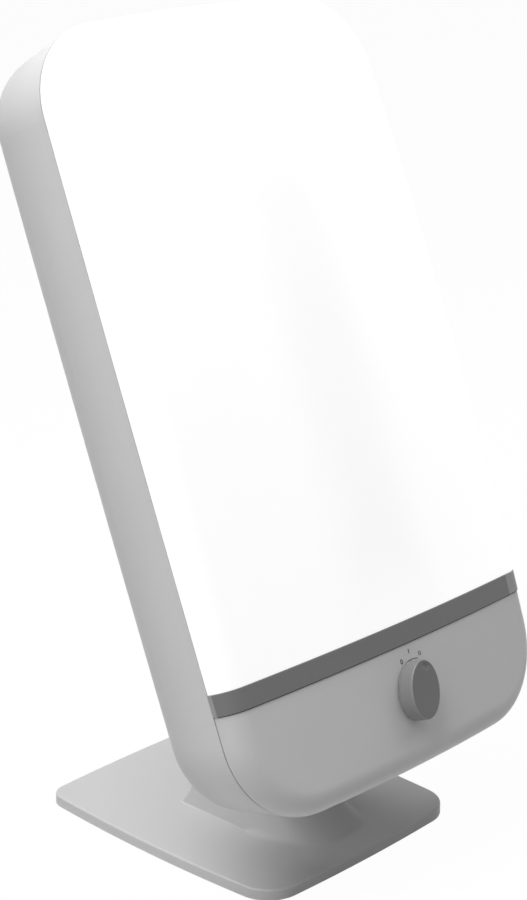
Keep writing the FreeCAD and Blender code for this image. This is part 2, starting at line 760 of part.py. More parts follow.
def control_panel():
    panel = between(cover_shell(), -HEAD_HEIGHT, BAR_BOTTOM - COVER_JOINT)
    surface = panel_surface(KNOB_V)
    pad = head_rod(SWITCH_PAD_RADIUS, KNOB_U, KNOB_V, switch_seat(), surface - COVER_WALL / 2)
    hole = head_rod(BUSHING_RADIUS + SCREW_GAP, KNOB_U, KNOB_V, 0, surface + THROUGH)
    return fuse_all([panel, pad]).cut(hole)


def front_frame():
    """Ring behind the covers that carries them and the reflector."""
    outer = COVER_WALL + FRAME_GAP
    ring = head_slab(outer, 0, FRAME_THICKNESS).cut(head_slab(outer + FRAME_BAND, 0, FRAME_THICKNESS))
    return ring.common(cover_form(outer, 0))


# ---------- reflector and lamps ----------

def pan_form(wall, front):
    """Tapered tray from the floor forward to the mouth."""
    reach = HEAD_HALF - PAN_MOUTH_INSET - wall
    top = HEAD_HEIGHT - PAN_MOUTH_INSET - wall
    bottom = PAN_BOTTOM + wall
    floor = PAN_FLOOR - PAN_WALL + wall
    wires = []
    for w, inward_u, inward_v in ((floor, PAN_SLOPE_SIDE, PAN_SLOPE_ENDS), (front, 0, 0)):
        side = reach - inward_u
        low = bottom + inward_v
        high = top - inward_v
        shoulder = high - PAN_CORNER
        crest = side - PAN_CORNER
        outline = ((-side, low), (side, low), (side, shoulder),
                   (crest, high), (-crest, high), (-side, shoulder))
        corners = [at(u, v, w) for u, v in outline]
        wires.append(Part.makePolygon(corners + corners[:1]))
    return Part.makeLoft(wires, True, True)


def lamp_notch(u):
    half_u = LAMP_CAP_WIDTH / 2 + LAMP_CAP_GAP
    half_w = LAMP_CAP_DEPTH / 2 + LAMP_CAP_GAP
    return head_block((u - half_u, u + half_u), (LAMP_BOTTOM, LAMP_BOTTOM + 2 * LAMP_CAP_LENGTH),
                      (-LAMP_DEPTH - half_w, -LAMP_DEPTH + half_w))


def reflector_pan():
    pan = pan_form(0, 0).cut(pan_form(PAN_WALL, 0))
    notches = [lamp_notch(sign * LAMP_U) for sign in (-1, 1)]
    places = [(u, v) for u, v in casing_screw_places() if v > PAN_BOTTOM + PAN_SLOPE_ENDS]
    places += [(0, v) for v in ballast_screw_heights()]
    holes = [head_rod(SCREW_RADIUS, u, v, PAN_FLOOR - PAN_WALL, PAN_FLOOR) for u, v in places]
    return cut_all(pan, notches + holes)


def tube_leg(u, radius):
    """Straight round leg with a domed end."""
    foot = LAMP_BOTTOM + LAMP_CAP_LENGTH
    length = LAMP_LENGTH - LAMP_CAP_LENGTH - TUBE_RADIUS
    leg = rod(radius, at(u, foot, -LAMP_DEPTH), Z_AXIS, length)
    dome = Part.makeSphere(radius, at(u, foot + length, -LAMP_DEPTH))
    return leg.fuse(dome)


def lamp_tube(u):
    """Two hollow legs, open into the cap, joined by a short bridge below their domed ends."""
    legs = (u - TUBE_PITCH / 2, u + TUBE_PITCH / 2)
    bridge_height = LAMP_BOTTOM + LAMP_LENGTH - 2 * TUBE_RADIUS
    bridge = rod(TUBE_RADIUS / 2, at(legs[0], bridge_height, -LAMP_DEPTH), X_AXIS, TUBE_PITCH)
    outside = fuse_all([tube_leg(leg, TUBE_RADIUS) for leg in legs] + [bridge])
    return cut_all(outside, [tube_leg(leg, TUBE_RADIUS - TUBE_WALL) for leg in legs])


def lamp_tubes():
    return group([lamp_tube(sign * LAMP_U) for sign in (-1, 1)])


def lamp_caps():
    caps = []
    for sign in (-1, 1):
        u = sign * LAMP_U
        cap = head_block((u - LAMP_CAP_WIDTH / 2, u + LAMP_CAP_WIDTH / 2),
                         (LAMP_BOTTOM, LAMP_BOTTOM + LAMP_CAP_LENGTH),
                         (-LAMP_DEPTH - LAMP_CAP_DEPTH / 2, -LAMP_DEPTH + LAMP_CAP_DEPTH / 2))
        uprights = [edge for edge in cap.Edges if abs(edge.tangentAt(0).z) > 0.9]
        caps.append(cap.makeFillet(LAMP_CAP_ROUND, uprights))
    return group(caps)


def pin_row(u):
    return [u + (index - 1.5) * LAMP_PIN_PITCH for index in range(4)]


def lamp_pin(u, gap):
    tip = at(u, LAMP_BOTTOM - LAMP_PIN_LENGTH, -LAMP_DEPTH)
    return rod(LAMP_PIN_RADIUS + gap, tip, Z_AXIS, LAMP_PIN_LENGTH)


def lamp_pins():
    return group([lamp_pin(u, 0) for sign in (-1, 1) for u in pin_row(sign * LAMP_U)])


def lamp_holders():
    """Sockets that the lamps' pins stand in."""
    holders = []
    for sign in (-1, 1):
        u = sign * LAMP_U
        body = head_block((u - HOLDER_WIDTH / 2, u + HOLDER_WIDTH / 2),
                          (LAMP_BOTTOM - HOLDER_HEIGHT, LAMP_BOTTOM),
                          (-LAMP_DEPTH - HOLDER_DEPTH / 2, -LAMP_DEPTH + HOLDER_DEPTH / 2))
        holders.append(cut_all(body, [lamp_pin(pin, SCREW_GAP) for pin in pin_row(u)]))
    return group(holders)


def lamp_clips():
    """Spring rings open to the front, each pair on a strip screwed to the reflector."""
    clips = []
    inner = TUBE_RADIUS + CLIP_GAP
    outer = inner + CLIP_WALL
    bottom = LAMP_BOTTOM + LAMP_LENGTH - CLIP_BELOW_LAMP_TOP
    heights = (bottom, bottom + CLIP_WIDTH)
    stem = CLIP_STEM_WIDTH / 2
    for sign in (-1, 1):
        u = sign * LAMP_U
        reach = TUBE_PITCH / 2 + outer
        pieces = [head_block((u - reach, u + reach), heights, (PAN_FLOOR, PAN_FLOOR + CLIP_WALL))]
        bores = []
        for leg in (u - TUBE_PITCH / 2, u + TUBE_PITCH / 2):
            pieces.append(rod(outer, at(leg, bottom, -LAMP_DEPTH), Z_AXIS, CLIP_WIDTH))
            pieces.append(head_block((leg - stem, leg + stem), heights, (PAN_FLOOR, -LAMP_DEPTH)))
            bores.append(rod(inner, at(leg, bottom, -LAMP_DEPTH), Z_AXIS, CLIP_WIDTH))
        opening = head_block((u - reach, u + reach), heights, (-LAMP_DEPTH + TUBE_RADIUS / 2, 0))
        clips.append(cut_all(fuse_all(pieces), bores + [opening]))
    return group(clips)


# ---------- electrics ----------

def ballast_rear():
    return PAN_FLOOR - PAN_WALL - BALLAST_THICKNESS


def ballast_screw_heights():
    margin = BALLAST_FOOT_LENGTH / 2
    return (BALLAST_BOTTOM + margin, BALLAST_BOTTOM + BALLAST_LENGTH - margin)


def ballast_unit():
    """Electronic control gear on the back of the reflector, with a screw foot at each end."""
    rear = ballast_rear()
    front = PAN_FLOOR - PAN_WALL
    half = BALLAST_WIDTH / 2
    top = BALLAST_BOTTOM + BALLAST_LENGTH
    under = front - BALLAST_FOOT_THICKNESS
    body = head_block((-half, half), (BALLAST_BOTTOM + BALLAST_FOOT_LENGTH, top - BALLAST_FOOT_LENGTH),
                      (rear, front))
    foot = head_block((-half, half), (BALLAST_BOTTOM, top), (under, front))
    holes = [head_rod(SCREW_RADIUS + SCREW_GAP, 0, v, under, front) for v in ballast_screw_heights()]
    return cut_all(fuse_all([body, foot]), holes)


def ballast_screws():
    seat = PAN_FLOOR - PAN_WALL - BALLAST_FOOT_THICKNESS
    return group([rear_screw(0, v, seat, PAN_FLOOR) for v in ballast_screw_heights()])


def terminal_block():
    inside = -CASING_DEPTH + CASING_WALL
    front = inside + TERMINAL_DEPTH
    left = TERMINAL_U - TERMINAL_WIDTH / 2
    middle = TERMINAL_V + TERMINAL_HEIGHT / 2
    pitch = TERMINAL_WIDTH / TERMINAL_WAYS
    body = head_block((left, left + TERMINAL_WIDTH), (TERMINAL_V, TERMINAL_V + TERMINAL_HEIGHT),
                      (inside, front))
    wells = [head_rod(TERMINAL_WELL_RADIUS, left + (index + 0.5) * pitch, middle,
                      front - TERMINAL_WELL_DEPTH, front) for index in range(TERMINAL_WAYS)]
    return cut_all(body, wells)


def inlet_form(margin, w_rear, w_front):
    """Two joined round lobes, the outline of a two-pin inlet."""
    radius = INLET_LOBE_RADIUS + margin
    half = INLET_LOBE_PITCH / 2
    lobes = [head_rod(radius, INLET_U + sign * half, INLET_V, w_rear, w_front) for sign in (-1, 1)]
    bridge = head_block((INLET_U - half, INLET_U + half), (INLET_V - radius, INLET_V + radius),
                        (w_rear, w_front))
    return fuse_all(lobes + [bridge])


def mains_inlet():
    mouth = -CASING_DEPTH - INLET_FLANGE_THICKNESS
    flange = inlet_form(INLET_BODY_MARGIN + INLET_FLANGE, mouth, -CASING_DEPTH)
    body = inlet_form(INLET_BODY_MARGIN, -CASING_DEPTH, -CASING_DEPTH + INLET_BODY_DEPTH)
    cavity = inlet_form(0, mouth, mouth + INLET_DEPTH)
    pins = [inlet_pin(sign) for sign in (-1, 1)]
    return cut_all(fuse_all([flange, body]), [cavity] + pins)


def inlet_pin(sign):
    floor = -CASING_DEPTH - INLET_FLANGE_THICKNESS + INLET_DEPTH
    u = INLET_U + sign * INLET_LOBE_PITCH / 2
    return head_rod(INLET_PIN_RADIUS, u, INLET_V, floor - INLET_PIN_LENGTH, floor + INLET_PIN_ROOT)


def inlet_pins():
    return group([inlet_pin(sign) for sign in (-1, 1)])


# ---------- switch and knob ----------

def knob_back():
    """The knob clears the panel where it stands highest under the knob's tip."""
    return panel_surface(KNOB_V + KNOB_HALF_LENGTH) + KNOB_GAP


def knob_front():
    return knob_back() + KNOB_DEPTH


def bushing_front():
    return knob_back() + KNOB_RECESS_DEPTH - BUSHING_GAP


def rotary_switch():
    seat = switch_seat()
    half = SWITCH_SIZE / 2
    body = head_block((KNOB_U - half, KNOB_U + half), (KNOB_V - half, KNOB_V + half),
                      (seat - SWITCH_DEPTH, seat))
    bushing = head_rod(BUSHING_RADIUS, KNOB_U, KNOB_V, seat, bushing_front())
    bore = head_rod(SHAFT_RADIUS + SHAFT_RUNNING_GAP, KNOB_U, KNOB_V, seat, bushing_front())
    return body.fuse(bushing).cut(bore)


def switch_nut():
    back = panel_surface(KNOB_V) + NUT_GAP
    reach = NUT_ACROSS_FLATS / 2 / math.cos(math.radians(30))
    angles = [math.radians(60 * corner) for corner in range(7)]
    corners = [at(KNOB_U + reach * math.cos(angle), KNOB_V + reach * math.sin(angle), back)
               for angle in angles]
    nut = Part.Face(Part.makePolygon(corners)).extrude(FORWARD * NUT_THICKNESS)
    return nut.cut(head_rod(BUSHING_RADIUS, KNOB_U, KNOB_V, back, back + NUT_THICKNESS))


def shaft_front():
    return knob_front() - KNOB_FACE_DEPTH - KNOB_WEB


def switch_shaft():
    return head_rod(SHAFT_RADIUS, KNOB_U, KNOB_V, switch_seat() + SHAFT_END_GAP, shaft_front())


def at_middle_setting(shape):
    """Turns what is drawn upright on the knob's axis to the dial's middle mark."""
    shape.rotate(at(KNOB_U, KNOB_V, 0), FORWARD, -KNOB_TURN)
    return shape


def knob_oval(inset, w_rear, w_front):
    centre = at(KNOB_U, KNOB_V, w_rear)
    tip = centre + Z_AXIS * (KNOB_HALF_LENGTH - inset)
    flank = centre + X_AXIS * (KNOB_HALF_WIDTH - inset)
    outline = Part.Wire(Part.Ellipse(tip, flank, centre).toShape())
    return at_middle_setting(Part.Face(outline).extrude(FORWARD * (w_front - w_rear)))


def knob():
    """Oval grip, hollow behind to clear the nut, with a seat in front for the face inlay."""
    back = knob_back()
    front = knob_front()
    body = knob_oval(0, back, front)
    rim = [edge for edge in body.Edges if edge.CenterOfMass.dot(FORWARD) > front - 0.01]
    body = body.makeFillet(KNOB_EDGE_ROUND, rim)
    recess = head_rod(KNOB_RECESS_RADIUS, KNOB_U, KNOB_V, back, back + KNOB_RECESS_DEPTH)
    seat = knob_oval(KNOB_FACE_INSET, front - KNOB_FACE_DEPTH, front)
    bore = head_rod(SHAFT_RADIUS, KNOB_U, KNOB_V, back, shaft_front())
    return cut_all(body, [recess, seat, bore])


def knob_pointer():
    front = knob_front()
    top = KNOB_V + KNOB_HALF_LENGTH - KNOB_FACE_INSET - POINTER_MARGIN
    half = POINTER_WIDTH / 2
    return at_middle_setting(head_block((KNOB_U - half, KNOB_U + half), (top - POINTER_LENGTH, top),
                                        (front - POINTER_DEPTH, front)))


def knob_face():
    front = knob_front()
    return knob_oval(KNOB_FACE_INSET, front - KNOB_FACE_DEPTH, front).cut(knob_pointer())


# ---------- writing ----------

STAND_NODES = {
    "foot_shell": foot_shell,
    "neck_shell": neck_shell,
    "anti_slip_pad": anti_slip_pad,
    "foot_cover": foot_cover,
    "foot_screws": foot_screws,
    "weight_plate": weight_plate,
    "stand_bracket": stand_bracket,
    "arm_screws": arm_screws,
    "hinge_pin": hinge_pin,
    "hinge_washers": hinge_washers,
    "hinge_caps": hinge_caps,
}

HEAD_NODES = {
    "head_bracket": head_bracket,
    "head_bracket_screws": head_bracket_screws,
    "backing_plate": backing_plate,
    "rear_casing": rear_casing,
    "casing_screws": casing_screws,
    "seam_gasket": seam_gasket,
    "front_frame": front_frame,
    "diffuser": diffuser,
    "trim_bar": trim_bar,
    "control_panel": control_panel,
    "reflector_pan": reflector_pan,
    "lamp_tubes": lamp_tubes,
    "lamp_caps": lamp_caps,
    "lamp_pins": lamp_pins,
    "lamp_holders": lamp_holders,
    "lamp_clips": lamp_clips,
    "ballast_unit": ballast_unit,
    "ballast_screws": ballast_screws,
    "terminal_block": terminal_block,
    "mains_inlet": mains_inlet,
    "inlet_pins": inlet_pins,
    "rotary_switch": rotary_switch,
    "switch_nut": switch_nut,
    "switch_shaft": switch_shaft,
    "knob": knob,
    "knob_face": knob_face,
    "knob_pointer": knob_pointer,
}


def write_nodes():
    os.makedirs("parts", exist_ok=True)
    for name, make in STAND_NODES.items():
        make().exportStep("parts/" + name + ".step")
    place = head_placement().toMatrix()
    for name, make in HEAD_NODES.items():
        make().transformed(place).exportStep("parts/" + name + ".step")


write_nodes()
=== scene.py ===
import bpy
import bmesh
import json
import math
from mathutils import Matrix, Vector


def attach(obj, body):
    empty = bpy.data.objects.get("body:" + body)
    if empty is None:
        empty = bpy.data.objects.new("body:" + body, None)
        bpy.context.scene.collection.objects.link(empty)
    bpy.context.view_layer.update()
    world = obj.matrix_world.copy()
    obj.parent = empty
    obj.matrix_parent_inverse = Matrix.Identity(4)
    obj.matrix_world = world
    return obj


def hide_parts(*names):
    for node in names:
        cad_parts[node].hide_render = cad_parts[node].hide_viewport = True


# Light therapy lamp: a lit head on a short neck over a flat foot.
# Sizes are millimetres and MM turns them into the scene's metres. On the head, u runs across it,
# v up it from the foot of the seam plane, and w forward from that plane.

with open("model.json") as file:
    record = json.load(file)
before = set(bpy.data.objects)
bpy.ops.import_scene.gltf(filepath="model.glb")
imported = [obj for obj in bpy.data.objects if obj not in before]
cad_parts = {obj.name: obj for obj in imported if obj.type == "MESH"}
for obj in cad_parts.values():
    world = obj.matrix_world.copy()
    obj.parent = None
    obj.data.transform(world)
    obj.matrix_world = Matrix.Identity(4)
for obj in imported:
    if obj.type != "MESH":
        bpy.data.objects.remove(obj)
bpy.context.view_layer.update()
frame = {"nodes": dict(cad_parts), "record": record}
nodes = frame["nodes"]
MM = 0.001

# Head: its lean, its origin, half its width and height, and how far its long sides bow out
LEAN = math.radians(21.9)
HEAD_ORIGIN = Vector((0.0, -133.326, 75.112))
HEAD_HALF = 138.25
HEAD_MIDDLE = 241.15
HEAD_BOW_SIDE = 1.0
CASING_DEPTH = 70.0

# Front covers: how far forward their edge lies, the round along it, and the rise of the crown
COVER_EDGE = 9.2
COVER_ROUND = 16.0
CROWN_ACROSS = 11.4
CROWN_UP = 8.2
BAR_BOTTOM = 76.1

# Neck: its height over the foot, its flat sides, and how its front and rear flare at the foot
FOOT_TOP = 8.0
NECK_FULL = 97.0
NECK_SIDE = 38.0
NECK_CORNER = 3.0
NECK_FRONT, FRONT_FLARE, FRONT_FADE = -37.0, 48.5, 27.0
NECK_REAR, REAR_LEAN, REAR_FLARE, REAR_FADE = -3.0, 0.24, 8.5, 12.0
NOSE_LOW, NOSE_HIGH = 52.5, 14.0

# Knob: where it stands, its oval, its gap to the panel, and the hollow in its back for the nut
KNOB_V = 46.9
KNOB_HALF_LENGTH = 18.5
KNOB_HALF_WIDTH = 12.7
KNOB_TURN = math.radians(16.0)
KNOB_DEPTH = 11.2
KNOB_GAP = 0.4
NUT_HOLLOW = 9.5
NUT_HOLLOW_DEPTH = 4.2

# Index mark pressed into the knob's inlay: its middle, the way it runs, and its size
MARK_MIDDLE = (5.0, 60.2)
MARK_RUN = (0.76, -0.65)
MARK_LENGTH = 2.6
MARK_WIDTH = 1.7
MARK_DEPTH = 0.7

# Print on the front covers, and a dark strip that paints the shadow under the trim bar
PRINT_LIFT = 0.03
SHADOW_STRIP_LIFT = 0.22
BAND_SUNK = 0.1

# Screws in the casing's rear and in the hinge's bracket
CASING_SCREW_ACROSS = 84.0
CASING_SCREW_HEIGHTS = (58.0, 232.0, 400.0)
CASING_SCREW_SUNK = 2.5
BRACKET_SCREW_ACROSS = 23.0
BRACKET_MIDDLE = 70.0
BRACKET_SCREW_UP = 24.0
BRACKET_PLATE = 3.0
SCREW_SIZES = {"Head Radius": 3.8, "Top Radius": 3.0, "Head Height": 2.2,
               "Recess Width": 0.9, "Recess Depth": 1.3}

# Camera, floor and lamps: places in metres, the lens in millimetres, power in watts
CAMERA_PLACE = Vector((-0.9431, -0.9088, 0.6760))
CAMERA_AIM = Vector((0.6896, 0.6555, -0.3079))
CAMERA_LENS = 86.35
FLOOR_HALF = 6.0
FLOOR_WHITE = 0.97
ROOM_LEVEL = 0.085
LAMP_TARGET = Vector((0, -0.02, 0.2))
LAMP_SIDE = 1.2
LAMPS = (
    ("left", (-1.13, -0.17, 1.96), 22.0),
    ("overhead", (-0.42, 0.61, 2.15), 21.0),
    ("low left", (-2.01, -0.44, 0.67), 7.0),
    ("front", (0.42, -0.65, 2.16), 8.0),
    ("right", (1.30, -0.67, 1.72), 7.0),
)

# Sockets of a colour Mix node, which go by number
COLOUR_A, COLOUR_B, COLOUR_OUT = 6, 7, 2


def head_direction(u, v, w):
    """A direction of the head's own frame, leaned back."""
    sin, cos = math.sin(LEAN), math.cos(LEAN)
    return Vector((u, v * sin - w * cos, v * cos + w * sin))


def head_point(u, v, w):
    """A point of the head's own frame, in the scene's metres."""
    return MM * (HEAD_ORIGIN + head_direction(u, v, w))


def bow_radius(half_chord, bow):
    return half_chord ** 2 / (2 * bow) + bow / 2


def crown(u, v):
    """How far forward the crowned front lies, away from its rounded edges."""
    across = bow_radius(HEAD_HALF, CROWN_ACROSS)
    upward = bow_radius(HEAD_MIDDLE, CROWN_UP)
    fall = across - math.sqrt(across ** 2 - u ** 2)
    peak = COVER_EDGE + CROWN_ACROSS + CROWN_UP
    return peak - upward + math.sqrt((upward - fall) ** 2 - (v - HEAD_MIDDLE) ** 2)


def side_reach(v):
    """Half the head's width at a height between its corners."""
    radius = bow_radius(HEAD_MIDDLE, HEAD_BOW_SIDE)
    return HEAD_HALF + HEAD_BOW_SIDE - radius + math.sqrt(radius ** 2 - (v - HEAD_MIDDLE) ** 2)


def cover_height(u, v):
    """How far forward the front covers lie, with the round along their sides. The crown is taken
    as straight near the side, along a line through it at two places."""
    near, far = 2, 12
    half = side_reach(v)
    outer = crown(half - near, v)
    slope = (crown(half - far, v) - outer) / (far - near)
    root = math.sqrt(1 + slope ** 2)
    inward = half - abs(u)
    if inward > COVER_ROUND * (1 - slope / root):
        return crown(u, v)
    centre = outer - near * slope + COVER_ROUND * (slope - root)
    return centre + math.sqrt(max(COVER_ROUND ** 2 - (COVER_ROUND - inward) ** 2, 0.0))


# ---------- finishes ----------

def paint(hex_colour):
    """sRGB hex to the linear colour that shaders take."""
    shares = [int(hex_colour[i:i + 2], 16) / 255 for i in (1, 3, 5)]
    linear = (c / 12.92 if c <= 0.04045 else ((c + 0.055) / 1.055) ** 2.4 for c in shares)
    return tuple(linear) + (1.0,)


def per_metre(size_mm):
    """A noise texture's scale: how often a grain of this size fits into a metre."""
    return 1000 / size_mm


def add_node(tree, kind, values=None, links=None, **settings):
    node = tree.nodes.new(kind)
    for name, value in settings.items():
        setattr(node, name, value)
    for socket, value in (values or {}).items():
        node.inputs[socket].default_value = value
    for socket, source in (links or {}).items():
        tree.links.new(source, node.inputs[socket])
    return node


def bare_material(name):
    material = bpy.data.materials.new(name)
    material.use_nodes = True
    material.node_tree.nodes.clear()
    return material, material.node_tree


# Moulded, painted and blasted skins return a little less gloss than a polished face, which has 0.5.
SATIN_GLOSS = 0.35


def grained(name, light, dark, roughness, grain_mm, depth_mm, metallic=0.0, ior=1.5,
            stretch=(1, 1, 1), shape=None):
    """A finish with a fine grain: its colour clouds slightly, its gloss breaks up and its surface
    has tooth. shape adds a broad height of its own under the grain."""
    cloud_mm, gloss_spread = 45, 0.05
    material, tree = bare_material(name)
    place = add_node(tree, "ShaderNodeTexCoord")
    aligned = add_node(tree, "ShaderNodeMapping", {"Scale": stretch},
                       {"Vector": place.outputs["Object"]})
    cloud = add_node(tree, "ShaderNodeTexNoise", {"Scale": per_metre(cloud_mm), "Detail": 2.0},
                     {"Vector": place.outputs["Object"]})
    grain = add_node(tree, "ShaderNodeTexNoise",
                     {"Scale": per_metre(grain_mm), "Detail": 3.0, "Roughness": 0.55},
                     {"Vector": aligned.outputs["Vector"]})
    colour = add_node(tree, "ShaderNodeMix", {COLOUR_A: paint(dark), COLOUR_B: paint(light)},
                      {"Factor": cloud.outputs["Fac"]}, data_type="RGBA")
    gloss = add_node(tree, "ShaderNodeMapRange",
                     {"To Min": roughness - gloss_spread, "To Max": roughness + gloss_spread},
                     {"Value": grain.outputs["Fac"]})
    tooth = add_node(tree, "ShaderNodeBump", {"Strength": 0.6, "Distance": depth_mm * MM},
                     {"Height": grain.outputs["Fac"]})
    if shape:
        broad = add_node(tree, "ShaderNodeBump", {"Strength": 1.0, "Distance": 1.0},
                         {"Height": shape(tree, place)})
        tree.links.new(broad.outputs["Normal"], tooth.inputs["Normal"])
    skin = add_node(tree, "ShaderNodeBsdfPrincipled", {"Metallic": metallic},
                    {"Base Color": colour.outputs[COLOUR_OUT],
                     "Roughness": gloss.outputs["Result"],
                     "Normal": tooth.outputs["Normal"]})
    if metallic == 0.0:
        skin.inputs["IOR"].default_value = ior
        skin.inputs["Specular IOR Level"].default_value = SATIN_GLOSS
    add_node(tree, "ShaderNodeOutputMaterial", {}, {"Surface": skin.outputs["BSDF"]})
    return material


def forward_of_seam(tree, place):
    """Metres forward from the seam plane, read off the object's own coordinates."""
    normal = head_direction(0, 0, 1)
    along = add_node(tree, "ShaderNodeVectorMath", {1: normal}, {0: place.outputs["Object"]},
                     operation="DOT_PRODUCT")
    start = (MM * HEAD_ORIGIN).dot(normal)
    forward = add_node(tree, "ShaderNodeMath", {1: start}, {0: along.outputs["Value"]},
                       operation="SUBTRACT")
    return forward.outputs["Value"]


def crowned_wall(tree, place):
    """The casing's side walls swell a little between the seam and the rear edge."""
    swell_mm, middle_mm, wave_mm = 3.9, 19.0, 50.0
    turn = add_node(tree, "ShaderNodeMath",
                    {1: math.pi / (wave_mm * MM), 2: math.pi * middle_mm / wave_mm},
                    {0: forward_of_seam(tree, place)}, operation="MULTIPLY_ADD")
    wave = add_node(tree, "ShaderNodeMath", {}, {0: turn.outputs["Value"]}, operation="COSINE")
    swell = add_node(tree, "ShaderNodeMath", {1: swell_mm * MM}, {0: wave.outputs["Value"]},
                     operation="MULTIPLY")
    return swell.outputs["Value"]


def opal_sheet():
    """Opal acrylic, moulded and lit from behind: an even glow, a touch weaker midway between the
    two lamps and toward the left side."""
    strip_x, lamp_off = 4 * MM, 62 * MM
    strip_z, strip_inner, strip_outer = 320 * MM, 80 * MM, 190 * MM
    left, right = -100 * MM, 120 * MM
    haze_mm = 60
    material, tree = bare_material("opal acrylic, moulded, lit")
    place = add_node(tree, "ShaderNodeTexCoord")
    split = add_node(tree, "ShaderNodeSeparateXYZ", {}, {"Vector": place.outputs["Object"]})
    aside = add_node(tree, "ShaderNodeMath", {1: strip_x}, {0: split.outputs["X"]},
                     operation="SUBTRACT")
    off_strip = add_node(tree, "ShaderNodeMath", {}, {0: aside.outputs["Value"]},
                         operation="ABSOLUTE")
    lamp = add_node(tree, "ShaderNodeMapRange", {"From Min": 0.0, "From Max": lamp_off},
                    {"Value": off_strip.outputs["Value"]}, interpolation_type="SMOOTHERSTEP")
    level = add_node(tree, "ShaderNodeMath", {1: strip_z}, {0: split.outputs["Z"]},
                     operation="SUBTRACT")
    off_level = add_node(tree, "ShaderNodeMath", {}, {0: level.outputs["Value"]},
                         operation="ABSOLUTE")
    ends = add_node(tree, "ShaderNodeMapRange",
                    {"From Min": strip_inner, "From Max": strip_outer},
                    {"Value": off_level.outputs["Value"]}, interpolation_type="SMOOTHERSTEP")
    even = add_node(tree, "ShaderNodeMath", {},
                    {0: lamp.outputs["Result"], 1: ends.outputs["Result"]}, operation="MAXIMUM")
    across = add_node(tree, "ShaderNodeMapRange", {"From Min": left, "From Max": right},
                      {"Value": split.outputs["X"]})
    full = add_node(tree, "ShaderNodeMix",
                    {COLOUR_A: paint("#F8F8F8"), COLOUR_B: paint("#FFFFFF")},
                    {"Factor": across.outputs["Result"]}, data_type="RGBA")
    glow = add_node(tree, "ShaderNodeMix", {COLOUR_A: paint("#F4F4F4")},
                    {"Factor": even.outputs["Value"], COLOUR_B: full.outputs[COLOUR_OUT]},
                    data_type="RGBA")
    haze = add_node(tree, "ShaderNodeTexNoise", {"Scale": per_metre(haze_mm), "Detail": 1.0},
                    {"Vector": place.outputs["Object"]})
    body = add_node(tree, "ShaderNodeMix",
                    {COLOUR_A: paint("#A4A4A4"), COLOUR_B: paint("#A8A8A8")},
                    {"Factor": haze.outputs["Fac"]}, data_type="RGBA")
    skin = add_node(tree, "ShaderNodeBsdfPrincipled",
                    {"Roughness": 0.35, "IOR": 1.49, "Emission Strength": 0.74},
                    {"Base Color": body.outputs[COLOUR_OUT],
                     "Emission Color": glow.outputs[COLOUR_OUT]})
    add_node(tree, "ShaderNodeOutputMaterial", {}, {"Surface": skin.outputs["BSDF"]})
    return material


def bar_finish():
    """Aluminium, bead blasted and anodised dark: an even satin grey. Its right end and the part
    where it turns back to the seam are painted lighter, as a painted highlight where those faces
    catch the light. The dyed skin hides the metal's own shine, so it isn't metallic.
    Real pits are 0.1 mm wide; they are drawn at 0.8 mm, because finer ones would not show."""
    # Masks for the painted highlight: the right end, and the strip's turn back toward the seam.
    right_start, right_full = 118.5 * MM, 120.0 * MM
    seam_start, seam_full = 4.0 * MM, 2.5 * MM
    pit_mm, pit_depth_mm, cloud_mm = 0.8, 0.02, 30
    material, tree = bare_material("aluminium, anodised dark, painted light ends")
    place = add_node(tree, "ShaderNodeTexCoord")
    split = add_node(tree, "ShaderNodeSeparateXYZ", {}, {"Vector": place.outputs["Object"]})
    right = add_node(tree, "ShaderNodeMapRange", {"From Min": right_start, "From Max": right_full},
                     {"Value": split.outputs["X"]}, interpolation_type="SMOOTHSTEP")
    rear = add_node(tree, "ShaderNodeMapRange", {"From Min": seam_start, "From Max": seam_full},
                    {"Value": forward_of_seam(tree, place)}, interpolation_type="SMOOTHSTEP")
    end = add_node(tree, "ShaderNodeMath", {},
                   {0: right.outputs["Result"], 1: rear.outputs["Result"]}, operation="MAXIMUM")
    pits = add_node(tree, "ShaderNodeTexNoise", {"Scale": per_metre(pit_mm), "Detail": 3.0},
                    {"Vector": place.outputs["Object"]})
    cloud = add_node(tree, "ShaderNodeTexNoise", {"Scale": per_metre(cloud_mm), "Detail": 2.0},
                     {"Vector": place.outputs["Object"]})
    dark = add_node(tree, "ShaderNodeMix",
                    {COLOUR_A: paint("#757575"), COLOUR_B: paint("#7A7A7A")},
                    {"Factor": cloud.outputs["Fac"]}, data_type="RGBA")
    # 9C9C9C is the painted highlight on those ends.
    both = add_node(tree, "ShaderNodeMix", {COLOUR_B: paint("#9C9C9C")},
                    {"Factor": end.outputs["Value"], COLOUR_A: dark.outputs[COLOUR_OUT]},
                    data_type="RGBA")
    gloss = add_node(tree, "ShaderNodeMapRange", {"To Min": 0.40, "To Max": 0.50},
                     {"Value": pits.outputs["Fac"]})
    tooth = add_node(tree, "ShaderNodeBump", {"Strength": 0.5, "Distance": pit_depth_mm * MM},
                     {"Height": pits.outputs["Fac"]})
    skin = add_node(tree, "ShaderNodeBsdfPrincipled",
                    {"IOR": 1.5, "Specular IOR Level": SATIN_GLOSS},
                    {"Base Color": both.outputs[COLOUR_OUT],
                     "Roughness": gloss.outputs["Result"],
                     "Normal": tooth.outputs["Normal"]})
    add_node(tree, "ShaderNodeOutputMaterial", {}, {"Surface": skin.outputs["BSDF"]})
    return material


